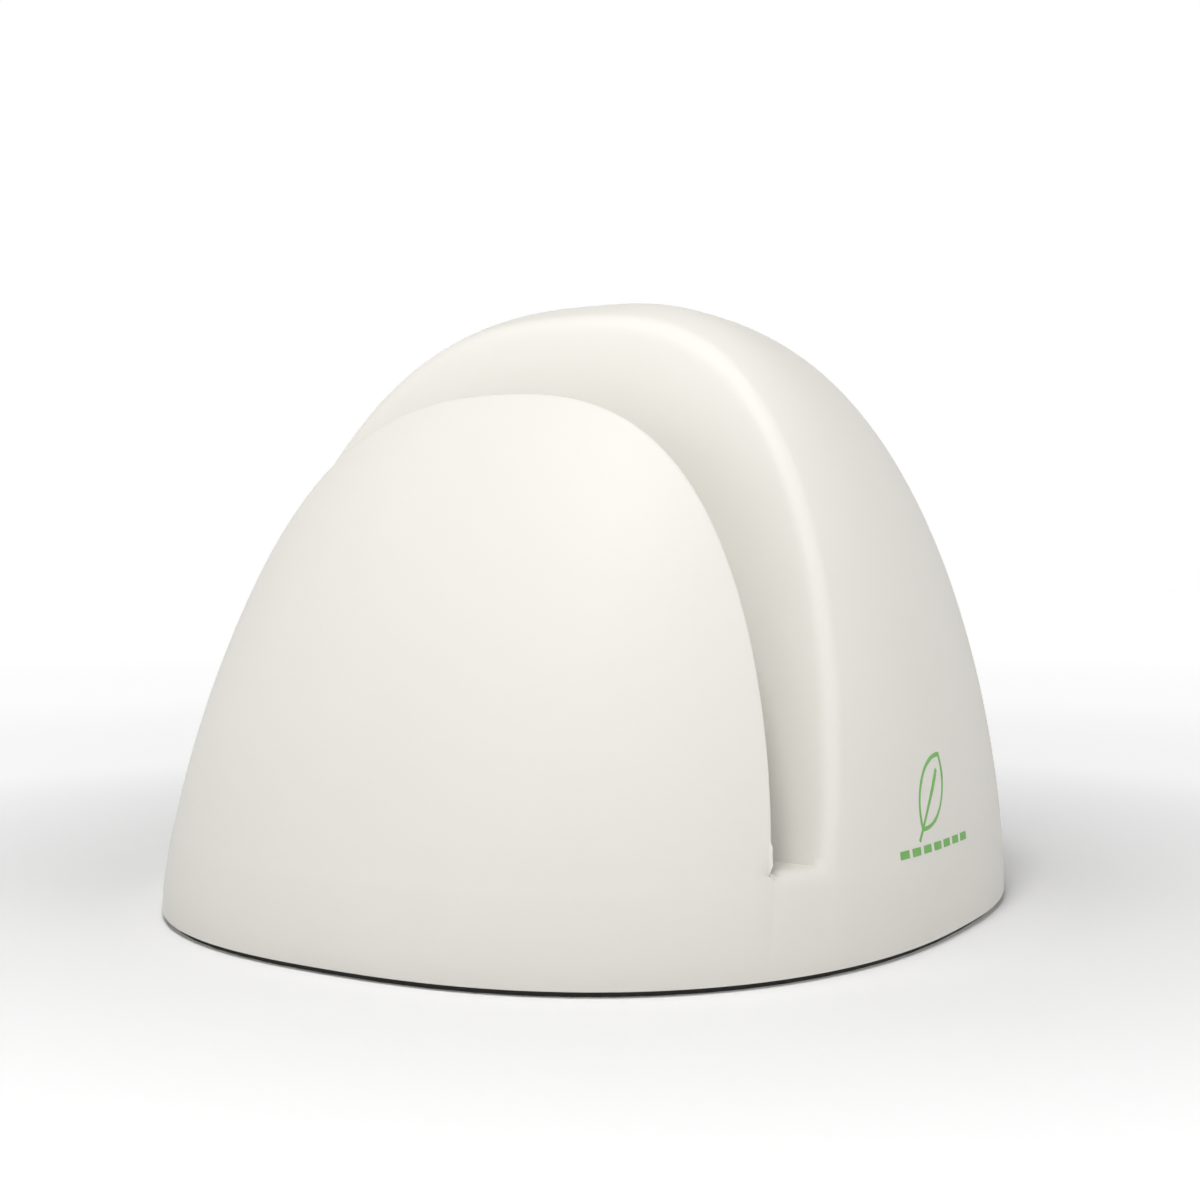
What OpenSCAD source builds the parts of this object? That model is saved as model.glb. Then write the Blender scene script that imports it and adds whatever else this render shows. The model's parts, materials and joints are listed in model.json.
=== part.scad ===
// Calf hutch: a moulded dome with a raked groove behind its nose, a rubber ground ring and,
// at the far end, an arched doorway with a hanging bar gate, two buckets and a roof vent.
// The nose faces -Y and the doorway faces +Y. The ground is the plane z = 0.

/* [Shell] */
// Width of the dome at its foot
shell_w = 1600; // [1300:10:1920]
// Length from the nose to the outer face of the gate hinges
overall_l = 1760; // [1460:10:2100]
// Height of the dome above the ground ring
shell_h = 1205; // [1080:5:1450]
// Roundness of the plan: 2 is an ellipse, higher is squarer
plan_power = 2.4; // [2.2:0.05:2.8]
// Thickness of the moulded wall
wall = 6; // [4:0.5:10]
// Width of the in-turned foot
foot_w = 80; // [70:1:100]
// Thickness of the in-turned foot
foot_t = 8; // [6:0.5:12]

/* [Groove] */
// Height of the groove's floor above the shell's edge
groove_floor = 170; // [120:5:240]
// Depth of the groove, measured in from the dome
groove_depth = 190; // [120:5:210]
// Width of the groove at the level of the shell's edge
groove_w = 87; // [70:1:120]
// Distance from the nose to the groove at the level of the shell's edge
groove_set = 300; // [270:1:360]
// Rake of the groove's front wall, as run over rise
rake_front = 0.21; // [0.1:0.01:0.3]
// Rake of the groove's rear wall, as run over rise
rake_rear = 0.29; // [0.2:0.01:0.4]

/* [Ground ring] */
// Height of the rubber ring
ring_h = 10; // [8:0.5:20]
// Distance that the ring is set in from the shell's edge
ring_inset = 12; // [6:1:20]
// Number of bolts that hold the ring
ring_bolt_count = 8; // [6:2:12]
// Diameter of the bolt shanks in the ring and the door frame
bolt_d = 8; // [6:1:10]
// Diameter of the four ground anchor holes
anchor_d = 14; // [12:1:18]

/* [Doorway] */
// Clear width of the doorway
door_w = 580; // [540:2:696]
// Height above ground at which the doorway's arch springs
door_spring = 560; // [520:10:620]
// Width of the flange around the porch
flange_w = 40; // [36:1:50]
// Thickness of the steel door frame
frame_t = 5; // [4:0.5:8]
// Diameter of the fixing holes for a run
run_d = 11; // [9:1:13]

/* [Gate] */
// Outer diameter of the gate tube
tube_d = 22; // [18:1:26]
// Gap between the gate and the doorway's side
gate_gap = 9; // [7:0.5:14]
// Height of the gate's bottom rail above ground
gate_low = 70; // [55:5:110]
// Height of the gate's top rail above ground
gate_high = 620; // [580:5:660]
// Number of upright bars
bar_count = 5; // [5:2:7]
// Diameter of the upright bars
bar_d = 8; // [6:1:10]
// Diameter of the hinge pins
pin_d = 12; // [10:0.2:14.4]
// Diameter of the latch bolt
latch_d = 12; // [10:1:14]
// Travel of the latch bolt
latch_travel = 34; // [28:1:36]

/* [Buckets] */
// Outer diameter of a bucket below its rim
bucket_d = 220; // [183:1:226]
// Outer diameter of a bucket's bottom
bucket_foot_d = 168; // [140:1:190]
// Height of a bucket
bucket_h = 218; // [180:1:240]
// Thickness of a bucket's wall
bucket_wall = 2.5; // [2:0.1:4]
// Height of the bucket rings above ground
bucket_ring_z = 400; // [340:5:440]
// Diameter of the ring wire
wire_d = 8; // [6:0.5:9]
// Diameter of the bail wire
bail_d = 5; // [4:0.5:6]

/* [Vent] */
// Place of the vent up the dome, as a share of the shell's height
vent_rise = 0.9; // [0.86:0.005:0.92]
// Outer diameter of the vent seat
vent_d = 236; // [200:2:250]
// Diameter of each vent hole
vent_hole_d = 36; // [26:1:40]
// Number of vent holes
vent_hole_count = 6; // [4:1:6]

/* [Mark] */
// Height of the leaf's centre above ground
mark_z = 272; // [240:2:360]
// Place of the leaf around the dome, in degrees from +X towards +Y
mark_turn = -6; // [-12:1:20]
// Length of the leaf from tip to stalk
leaf_l = 170; // [120:5:180]
// Width of the mark's lines
line_w = 7; // [5:0.5:10]
// Number of bars under the leaf
dash_count = 7; // [3:1:9]
// How far the mark stands out of the wall
mark_t = 2; // [1.5:0.1:3]

/* [Hidden] */

// Colours
ivory = [0.93, 0.91, 0.85];
rubber_black = [0.10, 0.10, 0.10];
galvanised = [0.66, 0.68, 0.70];
zinc = [0.78, 0.79, 0.80];
bucket_blue = [0.16, 0.33, 0.55];
bucket_grey = [0.35, 0.37, 0.38];
leaf_green = [0.20, 0.50, 0.24];

// Clearances
run_fit = 0.05;      // radial, a pin that turns or slides in its hole
hole_fit = 0.5;      // radial, a bolt in its hole
face_gap = 0.3;      // between faces that move past each other
eps = 1;             // how far a cutting solid passes the face that it cuts

// Steps of the meshed dome
around = 64;
rings_up = 16;

// Dome: the nose half and the doorway half have the same width and height
half_w = shell_w / 2;
nose_l = overall_l / 2;
knuckle_r = pin_d / 2 + 5;
hinge_y = overall_l / 2 - knuckle_r;
frame_front = hinge_y - knuckle_r - 13;
frame_back = frame_front - frame_t;
tail_l = frame_back - 8;
side_curve = [1.73, 0.38];
nose_curve = [1.37, 0.59];
tail_curve = [1.78, 0.30];

// Doorway
door_r = door_w / 2;
sill_z = ring_h + foot_t;
porch_r = door_r + wall;
flange_r = porch_r + flange_w;
fix_r = porch_r + flange_w / 2;
leg_fix_z = [70, 330];
arch_fix_a = [10, 50, 90, 130, 170];
run_fix_z = [225, 400];

// Ground ring
ring_line = foot_w / 2 + 6;
anchor_x = half_w * 0.65;
anchor_span = (nose_l + tail_l - 2 * ring_line) / 2;
anchor_share = anchor_x / (half_w - ring_line);
anchor_y = anchor_span * pow(1 - pow(anchor_share, plan_power), 1 / plan_power);
head_r = bolt_d * 0.95;
head_t = bolt_d * 0.5;
nut_t = bolt_d * 0.8;
washer_t = 1.6;

// Gate
tube_r = tube_d / 2;
gate_y = frame_front - 10;
gate_x = door_r - gate_gap - tube_r;
hinge_x = -door_r - 15;
gate_face = gate_y + tube_r;
knuckle_h = 40;
knuckle_z = [gate_low + 70, gate_high - 150];
strap_t = 5;
bar_step = 2 * gate_x / (bar_count + 1);

// Latch
latch_z = gate_high - 90;
latch_y = gate_face + 4 + latch_d / 2 + 4;
latch_r = latch_d / 2;
latch_tip = door_r - 4;
guide_t = 15;
handle_r = 4;
handle_room = 4;
guide_step = guide_t + latch_travel + 2 * (handle_r + handle_room);
guide_x = [gate_x - 8 - guide_step, gate_x - 8];
handle_x = guide_x[0] + guide_t + handle_room + handle_r;
keeper_x = latch_tip + 12;

// Buckets
rim_r = bucket_d / 2 + 9;
rim_h = 6;
ring_r = bucket_d / 2 + 1 + wire_d / 2;
bucket_x = rim_r + 3;
bucket_y = gate_y - bar_d / 2 - 2.5 - bail_d / 2 - (rim_r + 7);
rim_z = bucket_ring_z + wire_d / 2;
bucket_z = rim_z + rim_h - bucket_h;
bail_r = rim_r + 7;
bail_z = rim_z + 12;

// Vent
vent_r = vent_d / 2;
vent_bore_r = vent_r - 34;
vent_stand = 20;
vent_plate_t = 4;
vent_pitch_r = vent_bore_r * 0.68;
vent_half_step = 180 / vent_hole_count;
vent_disc_r = vent_r - 30;
vent_disc_t = 3;
vent_pivot_r = 5;

// Share of the half width or half length that is left at height share t
function taper(t, curve) = pow(max(0, 1 - pow(t, curve[0])), curve[1]);

// A point of the dome moved in by inset, at turn a and height share t
function dome_point(a, t, inset = 0) =
    let (
        c = cos(a),
        s = sin(a),
        p = 2 / plan_power,
        x = (half_w - inset) * taper(t, side_curve),
        y = s < 0 ? (nose_l - inset) * taper(t, nose_curve) : (tail_l - inset) * taper(t, tail_curve)
    )
    [x * sign(c) * pow(abs(c), p), y * sign(s) * pow(abs(s), p), ring_h + (shell_h - inset) * t];

// Outward direction of the dome's surface at turn a and height share t
function dome_normal(a, t) =
    let (
        d = 0.001,
        u = dome_point(a + d, t) - dome_point(a - d, t),
        v = dome_point(a, t + d) - dome_point(a, t - d),
        n = cross(u, v)
    )
    n / norm(n);

// Solid dome moved in by inset, cut flat at height share from_t
module dome(inset = 0, from_t = 0) {
    shares = [for (i = [0:rings_up - 1]) 1 - pow(1 - i / rings_up, 2)];
    levels = [for (s = shares) from_t + (1 - from_t) * s];
    skin = [for (t = levels, i = [0:around - 1]) dome_point(i * 360 / around, t, inset)];
    top = len(skin);
    last = (rings_up - 1) * around;
    sides = [
        for (k = [0:rings_up - 2], i = [0:around - 1])
            let (j = (i + 1) % around, lo = k * around, hi = lo + around)
                each [[lo + i, hi + i, hi + j], [lo + i, hi + j, lo + j]]
    ];
    cap = [for (i = [0:around - 1]) [last + i, top, last + (i + 1) % around]];
    floor_face = [[for (i = [0:around - 1]) i]];
    polyhedron(
        points = concat(skin, [[0, 0, ring_h + shell_h - inset]]),
        faces = concat(sides, cap, floor_face)
    );
}

// Plan outline of the dome's foot, moved in by inset
module plan(inset = 0) {
    polygon([for (i = [0:around - 1]) let (p = dome_point(i * 360 / around, 0, inset)) [p[0], p[1]]]);
}

// Upright outline of the doorway, in x and z, grown by grow, from height low
module arch(grow, low) {
    translate([0, door_spring]) circle(r = door_r + grow, $fn = 96);
    translate([-door_r - grow, low]) square([door_w + 2 * grow, door_spring - low]);
}

// Stands a drawing in x and z upright, from y = from to y = to
module upright(from, to) {
    translate([0, to, 0]) rotate([90, 0, 0]) linear_extrude(height = to - from) children();
}

// The raked groove, its walls moved out by grow; the core of the dome stays
module groove(grow = 0) {
    low = groove_floor - grow;
    high = shell_h + 100;
    front = -nose_l + groove_set - grow;
    rear = -nose_l + groove_set + groove_w + grow;
    difference() {
        translate([-half_w - eps, 0, ring_h])
            rotate([90, 0, 90])
                linear_extrude(height = shell_w + 2 * eps)
                    polygon([
                        [front + rake_front * low, low],
                        [rear + rake_rear * low, low],
                        [rear + rake_rear * high, high],
                        [front + rake_front * high, high]
                    ]);
        dome(groove_depth + grow);
    }
}

// Frame of the vent: origin at the centre of its seat, z out of the roof
module on_vent() {
    n = dome_normal(90, vent_rise);
    c = dome_point(90, vent_rise) + vent_stand * n;
    translate(c) rotate([-atan2(n[1], n[2]), 0, 0]) children();
}

// Repeats around a circle of radius r
module ring_of(count, r, start = 0) {
    for (i = [0:count - 1])
        rotate([0, 0, start + i * 360 / count]) translate([r, 0, 0]) children();
}

// Places of the ring's bolts, on the foot
module at_ring_bolts() {
    for (i = [0:ring_bolt_count - 1]) {
        p = dome_point((i + 0.5) * 360 / ring_bolt_count, 0, ring_line);
        translate([p[0], p[1], 0]) children();
    }
}

// Places of the four ground anchors
module at_anchors() {
    for (x = [-anchor_x, anchor_x], y = [-anchor_y, anchor_y])
        translate([x, y, 0]) children();
}

// Places of the door frame's bolts in x and z, on its legs and its arch
module at_frame_bolts() {
    for (x = [-fix_r, fix_r], z = leg_fix_z)
        translate([x, z]) children();
    for (a = arch_fix_a)
        translate([fix_r * cos(a), door_spring + fix_r * sin(a)]) children();
}

// Places of the holes for a run, in x and z
module at_run_holes() {
    for (x = [-fix_r, fix_r], z = run_fix_z)
        translate([x, z]) children();
}

// Holes that the shell's flange shares with the door frame
module frame_holes() {
    at_frame_bolts() circle(d = bolt_d + 2 * hole_fit, $fn = 24);
    at_run_holes() circle(d = run_d, $fn = 24);
}

module hexagon(r) {
    circle(r = r, $fn = 6);
}

// One moulding: dome, groove, porch, flange, foot and vent seat
module shell() {
    color(ivory)
    resize([shell_w, 0, 0])
    difference() {
        union() {
            dome();
            upright(tail_l / 2, frame_back) arch(wall, ring_h);
            upright(frame_back - wall, frame_back) arch(wall + flange_w, ring_h);
            on_vent() translate([0, 0, -3 * vent_stand]) cylinder(r = vent_r, h = 3 * vent_stand, $fn = 72);
        }
        difference() {
            union() {
                dome(wall, foot_t / (shell_h - wall));
                upright(tail_l / 2 - eps, frame_back + eps) arch(0, sill_z);
                on_vent() translate([0, 0, -100]) cylinder(r = vent_bore_r, h = 100 + eps, $fn = 60);
            }
            groove(wall);
        }
        groove();
        translate([0, 0, ring_h - eps]) linear_extrude(height = foot_t + 2 * eps) plan(foot_w);
        translate([0, 0, ring_h - eps]) at_ring_bolts()
            cylinder(r = bolt_d / 2 + hole_fit, h = foot_t + 2 * eps, $fn = 24);
        translate([0, 0, ring_h - eps]) at_anchors()
            cylinder(d = anchor_d + 2 * hole_fit, h = foot_t + 2 * eps, $fn = 24);
        upright(frame_back - wall - eps, frame_back + eps) frame_holes();
        on_vent() ring_of(vent_hole_count, vent_r - 11, vent_half_step)
            translate([0, 0, -24]) cylinder(r = 3.3, h = 24 + eps, $fn = 24);
    }
}

// Rubber ring under the foot, with sunk bolt heads
module base_ring() {
    color(rubber_black)
    difference() {
        linear_extrude(height = ring_h) difference() {
            union() {
                plan(ring_inset);
                translate([-porch_r + ring_inset, tail_l / 2])
                    square([2 * (porch_r - ring_inset), frame_back - ring_inset - tail_l / 2]);
            }
            plan(foot_w);
        }
        at_ring_bolts() {
            translate([0, 0, -eps]) cylinder(r = bolt_d / 2 + hole_fit, h = ring_h + 2 * eps, $fn = 24);
            translate([0, 0, -eps]) cylinder(r = head_r + 1, h = head_t + 1 + eps, $fn = 32);
        }
        at_anchors() translate([0, 0, -eps]) cylinder(d = anchor_d, h = ring_h + 2 * eps, $fn = 32);
    }
}

module base_bolts() {
    color(zinc) at_ring_bolts() {
        translate([0, 0, 1]) cylinder(r = head_r, h = head_t, $fn = 32);
        translate([0, 0, 1]) cylinder(d = bolt_d, h = sill_z + washer_t + nut_t + 3, $fn = 24);
    }
}

module base_washers() {
    color(zinc) at_ring_bolts() translate([0, 0, sill_z]) difference() {
        cylinder(r = bolt_d * 1.1, h = washer_t, $fn = 32);
        translate([0, 0, -eps]) cylinder(r = bolt_d / 2 + run_fit, h = washer_t + 2 * eps, $fn = 24);
    }
}

module base_nuts() {
    color(zinc) at_ring_bolts() translate([0, 0, sill_z + washer_t]) difference() {
        linear_extrude(height = nut_t) hexagon(bolt_d * 0.92);
        translate([0, 0, -eps]) cylinder(r = bolt_d / 2 + run_fit, h = nut_t + 2 * eps, $fn = 24);
    }
}

// Flat steel arch that stiffens the doorway and carries the gate
module door_frame() {
    color(galvanised)
    difference() {
        upright(frame_back, frame_front) difference() {
            arch(wall + flange_w, sill_z + 4);
            arch(0, -eps);
        }
        upright(frame_back - eps, frame_front + eps) frame_holes();
    }
}

module frame_bolts() {
    tail = frame_back - wall - washer_t - nut_t - 3;
    color(zinc) {
        upright(frame_front, frame_front + head_t) at_frame_bolts() hexagon(bolt_d * 0.92);
        upright(tail, frame_front) at_frame_bolts() circle(d = bolt_d, $fn = 24);
    }
}

module frame_washers() {
    back = frame_back - wall;
    color(zinc) upright(back - washer_t, back) at_frame_bolts() difference() {
        circle(r = bolt_d * 1.1, $fn = 32);
        circle(r = bolt_d / 2 + run_fit, $fn = 24);
    }
}

module frame_nuts() {
    back = frame_back - wall - washer_t;
    color(zinc) upright(back - nut_t, back) at_frame_bolts() difference() {
        hexagon(bolt_d * 0.92);
        circle(r = bolt_d / 2 + run_fit, $fn = 24);
    }
}

// Two lugs on the door frame, each under a gate knuckle
module hinge_brackets() {
    lug_h = 26;
    plate_l = hinge_x + knuckle_r + flange_r;
    color(galvanised) for (z = knuckle_z) translate([0, 0, z - face_gap - lug_h]) difference() {
        union() {
            translate([-flange_r, frame_front, -10]) cube([plate_l, strap_t, lug_h + 10]);
            translate([hinge_x - knuckle_r, frame_front, 0])
                cube([2 * knuckle_r, hinge_y - frame_front, lug_h]);
            translate([hinge_x, hinge_y, 0]) cylinder(r = knuckle_r, h = lug_h, $fn = 48);
        }
        translate([hinge_x, hinge_y, -eps]) cylinder(r = pin_d / 2 + run_fit, h = lug_h + 2 * eps, $fn = 48);
    }
}

// Upright pins that the gate hangs on
module hinge_pins() {
    color(zinc) for (z = knuckle_z) translate([hinge_x, hinge_y, z - 26]) {
        cylinder(d = pin_d, h = 26 + knuckle_h + 8, $fn = 48);
        translate([0, 0, 26 + knuckle_h + 8]) cylinder(r1 = pin_d / 2, r2 = pin_d / 4, h = 4, $fn = 48);
    }
}

// Block on the frame with the square hole that the latch bolt shoots into
module latch_keeper() {
    depth = latch_y + latch_r + 5 - frame_front;
    hole = latch_r + hole_fit;
    color(galvanised) translate([keeper_x, frame_front, latch_z]) difference() {
        translate([0, 0, -16]) cube([24, depth, 32]);
        translate([-eps, latch_y - frame_front - hole, -hole]) cube([24 + 2 * eps, 2 * hole, 2 * hole]);
    }
}

// Tube frame with round corners and its upright bars, welded together
module gate_frame() {
    h = gate_high - gate_low;
    color(galvanised) translate([0, gate_y, 0]) {
        for (x = [-gate_x, gate_x]) translate([x, 0, gate_low]) cylinder(r = tube_r, h = h, $fn = 48);
        for (z = [gate_low, gate_high]) {
            translate([-gate_x, 0, z]) rotate([0, 90, 0]) cylinder(r = tube_r, h = 2 * gate_x, $fn = 48);
            for (x = [-gate_x, gate_x]) translate([x, 0, z]) sphere(r = tube_r, $fn = 48);
        }
        for (i = [1:bar_count])
            translate([-gate_x + i * bar_step, 0, gate_low]) cylinder(d = bar_d, h = h, $fn = 32);
    }
}

// Knuckles with straps that are welded to the gate's hinge side
module gate_knuckles() {
    reach = -gate_x + tube_r - hinge_x;
    color(galvanised) for (z = knuckle_z) translate([hinge_x, 0, z]) difference() {
        union() {
            translate([0, hinge_y, 0]) cylinder(r = knuckle_r, h = knuckle_h, $fn = 48);
            translate([0, gate_face, 0]) cube([knuckle_r, hinge_y - gate_face, knuckle_h]);
            translate([0, gate_face, 0]) cube([reach, strap_t, knuckle_h]);
        }
        translate([0, hinge_y, -eps])
            cylinder(r = pin_d / 2 + run_fit, h = knuckle_h + 2 * eps, $fn = 48);
    }
}

// Plate with two guides for the latch bolt
module latch_guides() {
    depth = latch_y + latch_r + 4 - gate_face;
    length = guide_x[1] + guide_t - guide_x[0];
    color(galvanised) difference() {
        union() {
            translate([guide_x[0], gate_face, latch_z - 20]) cube([length, 4, 40]);
            for (x = guide_x) translate([x, gate_face, latch_z - 12]) cube([guide_t, depth, 24]);
        }
        translate([guide_x[0] - eps, latch_y, latch_z])
            rotate([0, 90, 0]) cylinder(r = latch_r + run_fit, h = length + 2 * eps, $fn = 48);
    }
}

// Sliding bolt with its handle, drawn open
module latch_bolt() {
    tail = guide_x[0] - 8;
    color(zinc) {
        translate([tail, latch_y, latch_z]) rotate([0, 90, 0])
            cylinder(r = latch_r, h = latch_tip - tail, $fn = 48);
        translate([handle_x, latch_y, latch_z]) cylinder(r = handle_r, h = 30, $fn = 32);
        translate([handle_x, latch_y, latch_z + 32]) sphere(r = 2 * handle_r, $fn = 32);
    }
}

// Wire ring lying flat, of centre line radius r
module wire_ring(r, d, sweep = 360) {
    rotate_extrude(angle = sweep, $fn = 96) translate([r, 0]) circle(d = d, $fn = 24);
}

// Two wire rings on the inner side of the gate, each on two arms that end at the gate's bars
module bucket_rings() {
    bar_face = gate_y - bar_d / 2;
    arm_d = wire_d - 1;
    color(galvanised) for (side = [-1, 1]) translate([side * bucket_x, bucket_y, bucket_ring_z]) {
        wire_ring(ring_r, wire_d);
        for (bar = [1, 2]) {
            dx = bar * bar_step - bucket_x;
            start = sqrt(ring_r * ring_r - dx * dx);
            translate([side * dx, start, 0]) rotate([-90, 0, 0])
                cylinder(d = arm_d, h = bar_face - bucket_y - start, $fn = 32);
        }
    }
}

// Tapered bucket with a rolled rim and two ears, standing on z = 0
module bucket() {
    foot_r = bucket_foot_d / 2;
    top_r = bucket_d / 2;
    ear_in = rim_r - 4;
    ear_out = rim_r + 3;
    pivot_z = bail_z - bucket_z;
    difference() {
        union() {
            rotate_extrude($fn = 96) polygon([
                [0, 0],
                [foot_r, 0],
                [top_r, bucket_h - rim_h],
                [rim_r, bucket_h - rim_h],
                [rim_r, bucket_h],
                [top_r - bucket_wall, bucket_h],
                [foot_r - bucket_wall, bucket_wall],
                [0, bucket_wall]
            ]);
            for (s = [-1, 1]) {
                translate([-9, s < 0 ? -ear_out : ear_in, bucket_h - rim_h])
                    cube([18, ear_out - ear_in, pivot_z - bucket_h + rim_h + 8]);
            }
        }
        translate([0, -ear_out - eps, pivot_z]) rotate([-90, 0, 0])
            cylinder(d = bail_d + 2 * run_fit, h = 2 * (ear_out + eps), $fn = 32);
    }
}

// Bail lying towards +X, with its pivot line on Y
module bail() {
    for (s = [-1, 1]) translate([0, s * (rim_r + 1.5), 0]) rotate([90, 0, 0])
        cylinder(d = bail_d, h = 2 * (bail_r - rim_r - 1.5), center = true, $fn = 24);
    rotate([0, 0, -90]) wire_ring(bail_r, bail_d, 180);
}

module water_bucket() {
    color(bucket_blue) translate([-bucket_x, bucket_y, bucket_z]) bucket();
}

module feed_bucket() {
    color(bucket_grey) translate([bucket_x, bucket_y, bucket_z]) bucket();
}

module water_bail() {
    color(zinc) translate([-bucket_x, bucket_y, bail_z]) mirror([1, 0, 0]) bail();
}

module feed_bail() {
    color(zinc) translate([bucket_x, bucket_y, bail_z]) bail();
}

// Ring of holes shared by the vent's plate and shutter
module vent_holes() {
    ring_of(vent_hole_count, vent_pitch_r) circle(d = vent_hole_d, $fn = 32);
}

module vent_plate() {
    color(bucket_grey) on_vent() difference() {
        linear_extrude(height = vent_plate_t) difference() {
            circle(r = vent_r - 1, $fn = 96);
            vent_holes();
            ring_of(vent_hole_count, vent_r - 11, vent_half_step) circle(r = 3.3, $fn = 24);
        }
        translate([0, 0, -eps]) cylinder(r = vent_pivot_r + run_fit, h = vent_plate_t + 2 * eps, $fn = 32);
    }
}

module vent_screws() {
    color(zinc) on_vent() ring_of(vent_hole_count, vent_r - 11, vent_half_step) {
        translate([0, 0, vent_plate_t]) cylinder(r = 6, h = 3.5, $fn = 32);
        translate([0, 0, -18]) cylinder(r = 3, h = 18 + vent_plate_t, $fn = 24);
    }
}

// Bolt from inside that the shutter turns on
module vent_pivot() {
    color(zinc) on_vent() {
        translate([0, 0, -7]) linear_extrude(height = 7) hexagon(vent_pivot_r * 1.9);
        cylinder(r = vent_pivot_r, h = vent_plate_t + vent_disc_t + 14, $fn = 32);
    }
}

// Turning shutter with a finger lug, drawn open
module vent_disc() {
    color(bucket_blue) on_vent() translate([0, 0, vent_plate_t + face_gap]) difference() {
        union() {
            linear_extrude(height = vent_disc_t) difference() {
                circle(r = vent_disc_r, $fn = 96);
                vent_holes();
            }
            rotate([0, 0, vent_half_step]) translate([vent_disc_r - 26, -4, 0])
                cube([24, 8, vent_disc_t + 12]);
        }
        translate([0, 0, -eps]) cylinder(r = vent_pivot_r + run_fit, h = vent_disc_t + 2 * eps, $fn = 32);
    }
}

// Wing nut that holds the shutter
module vent_nut() {
    low = vent_plate_t + vent_disc_t + 2 * face_gap;
    color(zinc) on_vent() translate([0, 0, low]) difference() {
        union() {
            cylinder(r = 10, h = 8, $fn = 32);
            for (s = [0, 180]) rotate([0, 0, s]) translate([6, -2, 2]) cube([14, 4, 14]);
        }
        translate([0, 0, -eps]) cylinder(r = vent_pivot_r + run_fit, h = 20, $fn = 32);
    }
}

// Pointed leaf of length l with its tips on Y
module leaf(l) {
    leaf_r = l * 0.61;
    shift = sqrt(leaf_r * leaf_r - l * l / 4);
    intersection() {
        translate([shift, 0]) circle(r = leaf_r, $fn = 64);
        translate([-shift, 0]) circle(r = leaf_r, $fn = 64);
    }
}

// Outlined leaf with its rib over a row of bars, in x and y
module mark_outline() {
    dash_step = leaf_l * 1.7 / dash_count;
    rotate([0, 0, -40]) {
        difference() {
            leaf(leaf_l);
            leaf(leaf_l - 3 * line_w);
        }
        translate([-line_w / 2, -leaf_l * 0.62]) square([line_w, leaf_l * 0.9]);
    }
    for (i = [0:dash_count - 1])
        translate([(i - dash_count / 2 + 0.15) * dash_step, -leaf_l * 0.61])
            square([dash_step * 0.7, 2 * line_w]);
}

// Raised mark that follows the flank
module side_mark() {
    t = (mark_z - ring_h) / shell_h;
    n = dome_normal(mark_turn, t);
    color(leaf_green)
    resize([0, 0, 0])
    intersection() {
        difference() {
            dome(-mark_t);
            dome(-face_gap / 2);
        }
        translate(dome_point(mark_turn, t)) rotate([0, 0, atan2(n[1], n[0]) + 90]) rotate([90, 0, 0])
            translate([0, 0, -60]) linear_extrude(height = 120) mark_outline();
    }
}

shell();
base_ring();
base_bolts();
base_washers();
base_nuts();
door_frame();
frame_bolts();
frame_washers();
frame_nuts();
hinge_brackets();
hinge_pins();
latch_keeper();
gate_frame();
gate_knuckles();
latch_guides();
latch_bolt();
bucket_rings();
water_bucket();
feed_bucket();
water_bail();
feed_bail();
vent_plate();
vent_screws();
vent_pivot();
vent_disc();
vent_nut();
side_mark();
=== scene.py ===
"""Calf hutch: the moulded dome, its doorway fittings and the studio around it.

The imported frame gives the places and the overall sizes; this file gives the moulding its fillets and
each piece its finish.
"""

import json
import math

import bmesh
import bpy
import numpy as np
from bpy.props import FloatProperty, FloatVectorProperty, IntProperty, PointerProperty
from mathutils import Matrix, Vector


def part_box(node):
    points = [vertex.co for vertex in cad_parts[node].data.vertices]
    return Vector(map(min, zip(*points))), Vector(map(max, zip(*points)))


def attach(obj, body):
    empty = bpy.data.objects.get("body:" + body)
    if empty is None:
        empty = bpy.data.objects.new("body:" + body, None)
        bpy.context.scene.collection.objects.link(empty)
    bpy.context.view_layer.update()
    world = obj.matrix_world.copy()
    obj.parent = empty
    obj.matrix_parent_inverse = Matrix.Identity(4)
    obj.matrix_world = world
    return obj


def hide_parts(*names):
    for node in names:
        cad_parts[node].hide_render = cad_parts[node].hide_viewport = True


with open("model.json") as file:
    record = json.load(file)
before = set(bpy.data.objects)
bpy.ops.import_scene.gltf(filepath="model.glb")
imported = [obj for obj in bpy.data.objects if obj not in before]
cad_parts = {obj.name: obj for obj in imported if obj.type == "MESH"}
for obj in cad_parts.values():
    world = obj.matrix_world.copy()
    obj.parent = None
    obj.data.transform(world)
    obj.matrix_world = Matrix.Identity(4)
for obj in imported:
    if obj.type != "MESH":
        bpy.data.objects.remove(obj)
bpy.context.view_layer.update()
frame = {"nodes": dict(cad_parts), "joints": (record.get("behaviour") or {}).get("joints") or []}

bl_info = {
    "name": "Calf Hutch",
    "version": (1, 0, 0),
    "blender": (4, 5, 0),
    "location": "View3D > Sidebar > Hutch",
    "description": "Builds a moulded calf hutch with its gate, buckets, vent and studio",
    "category": "Object",
}

SHELL_LOW, SHELL_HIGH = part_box("shell")
FRAME_LOW, FRAME_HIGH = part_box("door_frame")
GATE_LOW, GATE_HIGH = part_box("gate_frame")
PLATE_LOW, PLATE_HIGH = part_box("vent_plate")
JOINTS = {joint["name"]: joint for joint in frame["joints"]}
LAMP_AIM = Vector((0, 0, 0.5))
# Angles in degrees over which an edge is sharp
SHELL_SHARP = 62.0
BEAD_SHARP = 70.0
BEVEL_SHARP = 50.0
VENT_AXIS = Vector(JOINTS["vent_turn"]["axis"])
VENT_PLACE = Vector(JOINTS["vent_turn"]["pos_m"])
VENT_RADIUS = (PLATE_HIGH.x - PLATE_LOW.x) / 2 + 0.001


# Sizes and colours that a user would change


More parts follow.
